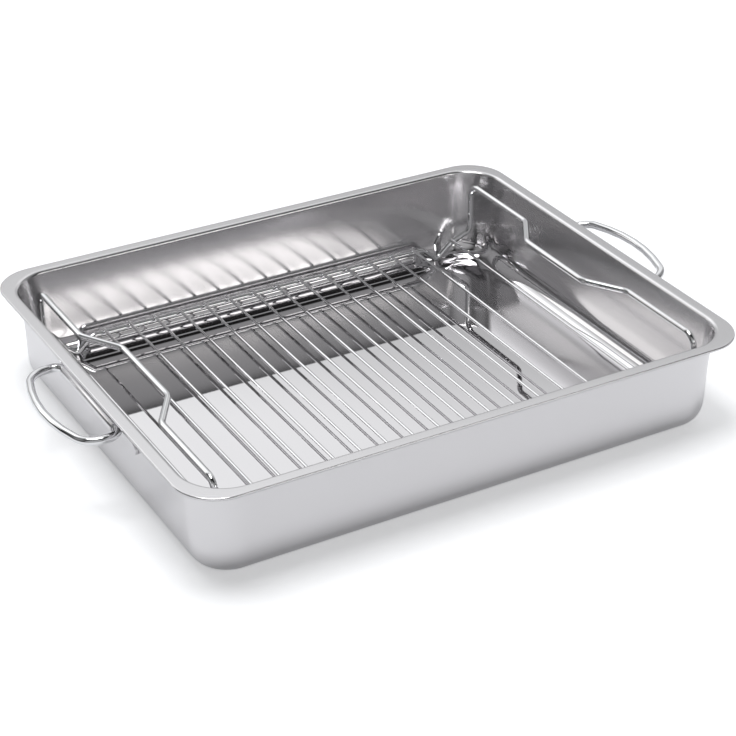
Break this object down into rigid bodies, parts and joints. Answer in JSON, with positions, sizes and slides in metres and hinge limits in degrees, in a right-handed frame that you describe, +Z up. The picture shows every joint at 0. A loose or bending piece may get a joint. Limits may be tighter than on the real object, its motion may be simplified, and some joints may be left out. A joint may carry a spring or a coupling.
{
  "type": "roasting pan with rack",
  "caption": "Rectangular stainless steel roasting pan with a flat flange, swinging bail handles in rolled brackets, and a lift-out wire rack with V feet and raised grips.",
  "frame": {"origin": "middle of the underside of the pan's base, on the plane it rests on", "axes": "+X along the pan towards the right-hand handle, +Y towards the back long side, +Z up"},
  "size_m": [0.4342, 0.31, 0.0643],
  "materials": {
    "satin_stainless": "satin stainless sheet, bright on the floor",
    "bright_bail": "polished stainless wire",
    "bright_wire": "bright plated wire"
  },
  "bodies": {
    "pan_body": {"pan": "satin_stainless", "left_bracket": "satin_stainless", "right_bracket": "satin_stainless"},
    "left_bail_body": {"left_bail": "bright_bail"},
    "right_bail_body": {"right_bail": "bright_bail"},
    "rack_body": {"rack_rail_back": "bright_wire", "rack_rail_front": "bright_wire", "rack_grip_left": "bright_wire", "rack_grip_right": "bright_wire", "rack_wire_01": "bright_wire", "rack_wire_02": "bright_wire", "rack_wire_03": "bright_wire", "rack_wire_04": "bright_wire", "rack_wire_05": "bright_wire", "rack_wire_06": "bright_wire", "rack_wire_07": "bright_wire", "rack_wire_08": "bright_wire", "rack_wire_09": "bright_wire", "rack_wire_10": "bright_wire", "rack_wire_11": "bright_wire", "rack_wire_12": "bright_wire", "rack_wire_13": "bright_wire", "rack_wire_14": "bright_wire", "rack_end_wire_left": "bright_wire", "rack_end_wire_right": "bright_wire"}
  },
  "joints": [
    {"name": "left_bail_hinge", "type": "hinge", "parent": "pan_body", "child": "left_bail_body", "pos_m": [-0.1847, 0, 0.0513], "axis": [0, 1, 0], "range_deg": [-83, 52]},
    {"name": "right_bail_hinge", "type": "hinge", "parent": "pan_body", "child": "right_bail_body", "pos_m": [0.1847, 0, 0.0513], "axis": [0, -1, 0], "range_deg": [-96, 39]},
    {"name": "rack_lift", "type": "slide", "parent": "pan_body", "child": "rack_body", "axis": [0, 0, 1], "range_m": [0, 0.085]}
  ]
}
